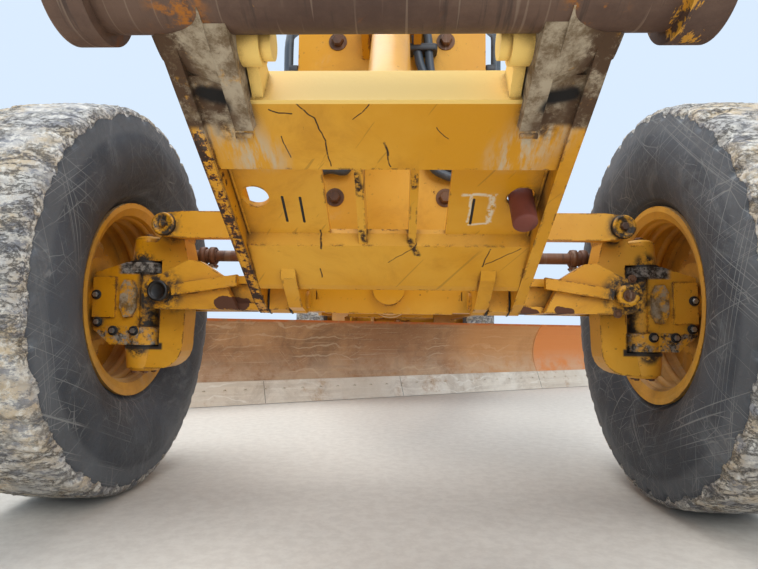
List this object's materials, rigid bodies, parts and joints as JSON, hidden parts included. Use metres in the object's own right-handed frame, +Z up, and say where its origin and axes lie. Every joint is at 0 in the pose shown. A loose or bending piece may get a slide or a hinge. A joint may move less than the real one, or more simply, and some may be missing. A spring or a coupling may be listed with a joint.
{
  "type": "articulated motor grader",
  "caption": "Articulated motor grader with a raised front lift frame, leaning front wheels, a drawbar with circle and moldboard, a glazed cab and tandem rear axles.",
  "frame": {"origin": "on the ground, under the middle of the machine's length and width", "axes": "+Z up, +Y from the nose to the tail, +X to the right of a viewer who faces the nose"},
  "size_m": [4.3006, 8.9952, 3.38],
  "materials": {
    "yellow_paint": "worn and dusty, with scratches and rust at the edges",
    "black_trim": "matte",
    "glass": "clear, dusty",
    "engine_grey": "matte",
    "rusty_steel": "rusty, with long scratches",
    "blade_steel": "worn bare by soil",
    "edge_steel": "ground bare by soil",
    "rod_chrome": "polished",
    "tyre": "dry, with caked soil in the tread"
  },
  "bodies": {
    "front_frame": {"front_frame": "yellow_paint", "steps": "black_trim", "saddle": "yellow_paint", "cab": "yellow_paint", "cab_glass": "glass", "cab_fittings": "black_trim", "lamps": "black_trim", "mirrors": "black_trim"},
    "lift_frame": {"lift_frame": "yellow_paint", "lock_pin": "rusty_steel", "cross_tube": "rusty_steel"},
    "hitch_barrel": {"hitch_barrel": "yellow_paint"},
    "hitch_rod": {"hitch_rod": "rod_chrome"},
    "axle_beam": {"axle_beam": "yellow_paint"},
    "lean_left": {"lean_casting_left": "yellow_paint"},
    "lean_right": {"lean_casting_right": "yellow_paint"},
    "lean_bar": {"lean_bar": "yellow_paint"},
    "knuckle_left": {"knuckle_left": "yellow_paint"},
    "knuckle_right": {"knuckle_right": "yellow_paint"},
    "tie_rod_end": {"tie_rod_end": "yellow_paint"},
    "tie_rod": {"tie_rod": "rusty_steel"},
    "wheel_front_left": {"tyre_front_left": "tyre", "rim_front_left": "yellow_paint"},
    "wheel_front_right": {"tyre_front_right": "tyre", "rim_front_right": "yellow_paint"},
    "drawbar": {"drawbar": "yellow_paint"},
    "circle": {"circle": "yellow_paint"},
    "blade_bracket": {"blade_bracket": "yellow_paint"},
    "moldboard": {"moldboard": "blade_steel", "cutting_edge": "edge_steel"},
    "tip_barrel": {"tip_barrel": "yellow_paint"},
    "tip_rod": {"tip_rod": "rod_chrome"},
    "lift_barrel_left": {"lift_barrel_left": "yellow_paint"},
    "lift_rod_left": {"lift_rod_left": "rod_chrome"},
    "lift_barrel_right": {"lift_barrel_right": "yellow_paint"},
    "lift_rod_right": {"lift_rod_right": "rod_chrome"},
    "shift_barrel": {"shift_barrel": "yellow_paint"},
    "shift_rod": {"shift_rod": "rod_chrome"},
    "door_left": {"door_left": "yellow_paint"},
    "door_right": {"door_right": "yellow_paint"},
    "rear_frame": {"rear_frame": "yellow_paint", "bumper": "yellow_paint", "axle_housing": "yellow_paint", "hood": "yellow_paint", "exhaust": "black_trim", "engine": "engine_grey"},
    "tandem_left": {"tandem_left": "yellow_paint"},
    "tandem_right": {"tandem_right": "yellow_paint"},
    "wheel_1_left": {"tyre_1_left": "tyre", "rim_1_left": "yellow_paint"},
    "wheel_2_left": {"tyre_2_left": "tyre", "rim_2_left": "yellow_paint"},
    "wheel_1_right": {"tyre_1_right": "tyre", "rim_1_right": "yellow_paint"},
    "wheel_2_right": {"tyre_2_right": "tyre", "rim_2_right": "yellow_paint"},
    "articulation_barrel_left": {"articulation_barrel_left": "yellow_paint"},
    "articulation_rod_left": {"articulation_rod_left": "rod_chrome"},
    "articulation_barrel_right": {"articulation_barrel_right": "yellow_paint"},
    "articulation_rod_right": {"articulation_rod_right": "rod_chrome"}
  },
  "joints": [
    {"name": "lift_frame_tilt", "type": "hinge", "parent": "front_frame", "child": "lift_frame", "pos_m": [0, -3.65236, 0.665], "axis": [1, 0, 0], "range_deg": [0, 45]},
    {"name": "hitch_barrel_swing", "type": "hinge", "parent": "front_frame", "child": "hitch_barrel", "pos_m": [0, -3.67236, 1.49], "axis": [1, 0, 0], "range_deg": [0, 10.31]},
    {"name": "hitch_rod_slide", "type": "slide", "parent": "hitch_barrel", "child": "hitch_rod", "axis": [0, -0.6552, -0.7554], "range_m": [0, 0.40735]},
    {"name": "axle_oscillation", "type": "hinge", "parent": "front_frame", "child": "axle_beam", "pos_m": [0, -3.25236, 0.7], "axis": [0, 1, 0], "range_deg": [-15, 15]},
    {"name": "lean_left", "type": "hinge", "parent": "axle_beam", "child": "lean_left", "pos_m": [-0.772, -3.25236, 0.7], "axis": [0, 1, 0], "range_deg": [-18, 18]},
    {"name": "steer_left", "type": "hinge", "parent": "lean_left", "child": "knuckle_left", "pos_m": [-0.885, -3.25236, 0.7], "axis": [0, 0, 1], "range_deg": [-38, 38]},
    {"name": "front_wheel_left", "type": "hinge", "parent": "knuckle_left", "child": "wheel_front_left", "pos_m": [-1.055, -3.25236, 0.68], "axis": [1, 0, 0], "continuous": true},
    {"name": "lean_right", "type": "hinge", "parent": "axle_beam", "child": "lean_right", "pos_m": [0.772, -3.25236, 0.7], "axis": [0, 1, 0], "range_deg": [-18, 18]},
    {"name": "steer_right", "type": "hinge", "parent": "lean_right", "child": "knuckle_right", "pos_m": [0.885, -3.25236, 0.7], "axis": [0, 0, 1], "range_deg": [-38, 38]},
    {"name": "front_wheel_right", "type": "hinge", "parent": "knuckle_right", "child": "wheel_front_right", "pos_m": [1.055, -3.25236, 0.68], "axis": [1, 0, 0], "continuous": true},
    {"name": "lean_bar_pin", "type": "hinge", "parent": "lean_left", "child": "lean_bar", "pos_m": [-0.772, -3.37436, 0.93], "axis": [0, 1, 0], "range_deg": [-18.1, 18.1]},
    {"name": "tie_rod_ball", "type": "hinge", "parent": "knuckle_left", "child": "tie_rod_end", "pos_m": [-0.885, -3.06236, 0.865], "axis": [0, 0, 1], "range_deg": [-38.1, 38.1]},
    {"name": "tie_rod_level", "type": "hinge", "parent": "tie_rod_end", "child": "tie_rod", "pos_m": [-0.885, -3.06236, 0.865], "axis": [0, 1, 0], "range_deg": [-18.1, 18.1]},
    {"name": "drawbar_lift", "type": "hinge", "parent": "front_frame", "child": "drawbar", "pos_m": [0, -2.81236, 0.8], "axis": [1, 0, 0], "range_deg": [0, 8.5]},
    {"name": "lift_barrel_left_swing", "type": "hinge", "parent": "front_frame", "child": "lift_barrel_left", "pos_m": [-0.69, -0.45236, 2.02], "axis": [1, 0, 0], "range_deg": [0, 1.24]},
    {"name": "lift_rod_left_slide", "type": "slide", "parent": "lift_barrel_left", "child": "lift_rod_left", "axis": [0, 0.1903, -0.9817], "range_m": [-0.38004, 0]},
    {"name": "lift_barrel_right_swing", "type": "hinge", "parent": "front_frame", "child": "lift_barrel_right", "pos_m": [0.69, -0.45236, 2.02], "axis": [1, 0, 0], "range_deg": [0, 1.24]},
    {"name": "lift_rod_right_slide", "type": "slide", "parent": "lift_barrel_right", "child": "lift_rod_right", "axis": [0, 0.1903, -0.9817], "range_m": [-0.38004, 0]},
    {"name": "shift_barrel_swing", "type": "hinge", "parent": "front_frame", "child": "shift_barrel", "pos_m": [0.47, -0.08236, 1.455], "axis": [-0.0742, 0.9848, 0.1571], "range_deg": [0, 23.58]},
    {"name": "shift_rod_slide", "type": "slide", "parent": "shift_barrel", "child": "shift_rod", "axis": [-0.9042, 0, -0.427], "range_m": [-0.11365, 0]},
    {"name": "circle_turn", "type": "hinge", "parent": "drawbar", "child": "circle", "pos_m": [0, -0.03236, 0.745], "axis": [0, 0, 1], "range_deg": [-80, 20]},
    {"name": "blade_tip", "type": "hinge", "parent": "circle", "child": "blade_bracket", "pos_m": [0.075, -0.16226, 0.215], "axis": [0.866, 0.5, 0], "range_deg": [-5, 40]},
    {"name": "tip_barrel_swing", "type": "hinge", "parent": "circle", "child": "tip_barrel", "pos_m": [-0.165, 0.25343, 0.64], "axis": [0.866, 0.5, 0], "range_deg": [-0.76, 6.11]},
    {"name": "tip_rod_slide", "type": "slide", "parent": "tip_barrel", "child": "tip_rod", "axis": [0.4999, -0.8658, -0.0204], "range_m": [-0.03492, 0.27939]},
    {"name": "blade_shift", "type": "slide", "parent": "blade_bracket", "child": "moldboard", "axis": [0.866, 0.5, 0], "range_m": [-0.5, 0.5]},
    {"name": "door_left", "type": "hinge", "parent": "front_frame", "child": "door_left", "pos_m": [-0.776, 1.11764, 2], "axis": [0, 0, 1], "range_deg": [-75, 0]},
    {"name": "door_right", "type": "hinge", "parent": "front_frame", "child": "door_right", "pos_m": [0.776, 1.11764, 2], "axis": [0, 0, 1], "range_deg": [0, 75]},
    {"name": "articulation", "type": "hinge", "parent": "front_frame", "child": "rear_frame", "pos_m": [0, 1.67764, 1.2], "axis": [0, 0, 1], "range_deg": [-20, 20]},
    {"name": "articulation_barrel_left_swing", "type": "hinge", "parent": "rear_frame", "child": "articulation_barrel_left", "pos_m": [-0.36, 2.19264, 1.08], "axis": [0, 0, 1], "range_deg": [-7.16, 7.16]},
    {"name": "articulation_rod_left_slide", "type": "slide", "parent": "articulation_barrel_left", "child": "articulation_rod_left", "axis": [0, -1, 0], "range_m": [-0.12542, 0.12542]},
    {"name": "articulation_barrel_right_swing", "type": "hinge", "parent": "rear_frame", "child": "articulation_barrel_right", "pos_m": [0.36, 2.19264, 1.08], "axis": [0, 0, 1], "range_deg": [-7.16, 7.16]},
    {"name": "articulation_rod_right_slide", "type": "slide", "parent": "articulation_barrel_right", "child": "articulation_rod_right", "axis": [0, -1, 0], "range_m": [-0.12542, 0.12542]},
    {"name": "tandem_left", "type": "hinge", "parent": "rear_frame", "child": "tandem_left", "pos_m": [-0.675, 2.86764, 0.7], "axis": [1, 0, 0], "range_deg": [-15, 15]},
    {"name": "rear_wheel_1_left", "type": "hinge", "parent": "tandem_left", "child": "wheel_1_left", "pos_m": [-1.035, 2.10564, 0.68], "axis": [1, 0, 0], "continuous": true},
    {"name": "rear_wheel_2_left", "type": "hinge", "parent": "tandem_left", "child": "wheel_2_left", "pos_m": [-1.035, 3.62964, 0.68], "axis": [1, 0, 0], "continuous": true},
    {"name": "tandem_right", "type": "hinge", "parent": "rear_frame", "child": "tandem_right", "pos_m": [0.675, 2.86764, 0.7], "axis": [1, 0, 0], "range_deg": [-15, 15]},
    {"name": "rear_wheel_1_right", "type": "hinge", "parent": "tandem_right", "child": "wheel_1_right", "pos_m": [1.035, 2.10564, 0.68], "axis": [1, 0, 0], "continuous": true},
    {"name": "rear_wheel_2_right", "type": "hinge", "parent": "tandem_right", "child": "wheel_2_right", "pos_m": [1.035, 3.62964, 0.68], "axis": [1, 0, 0], "continuous": true}
  ],
  "couplings": [
    {"joint": "hitch_barrel_swing", "follows": "lift_frame_tilt", "ratio": 0.22864},
    {"joint": "hitch_rod_slide", "follows": "lift_frame_tilt", "m_per_rad": 0.51761},
    {"joint": "lean_right", "follows": "lean_left", "ratio": 1},
    {"joint": "steer_right", "follows": "steer_left", "ratio": 1},
    {"joint": "lean_bar_pin", "follows": "lean_left", "ratio": -1},
    {"joint": "tie_rod_ball", "follows": "steer_left", "ratio": -1},
    {"joint": "tie_rod_level", "follows": "lean_left", "ratio": -0.87437},
    {"joint": "lift_barrel_left_swing", "follows": "drawbar_lift", "ratio": 0.14535},
    {"joint": "lift_rod_left_slide", "follows": "drawbar_lift", "m_per_rad": -2.5566},
    {"joint": "lift_barrel_right_swing", "follows": "drawbar_lift", "ratio": 0.14535},
    {"joint": "lift_rod_right_slide", "follows": "drawbar_lift", "m_per_rad": -2.5566},
    {"joint": "shift_barrel_swing", "follows": "drawbar_lift", "ratio": 2.7682},
    {"joint": "shift_rod_slide", "follows": "drawbar_lift", "m_per_rad": -0.76454},
    {"joint": "tip_barrel_swing", "follows": "blade_tip", "ratio": 0.15249},
    {"joint": "tip_rod_slide", "follows": "blade_tip", "m_per_rad": 0.3994},
    {"joint": "articulation_barrel_left_swing", "follows": "articulation", "ratio": -0.35719},
    {"joint": "articulation_rod_left_slide", "follows": "articulation", "m_per_rad": -0.35857},
    {"joint": "articulation_barrel_right_swing", "follows": "articulation", "ratio": -0.35719},
    {"joint": "articulation_rod_right_slide", "follows": "articulation", "m_per_rad": 0.35857}
  ]
}
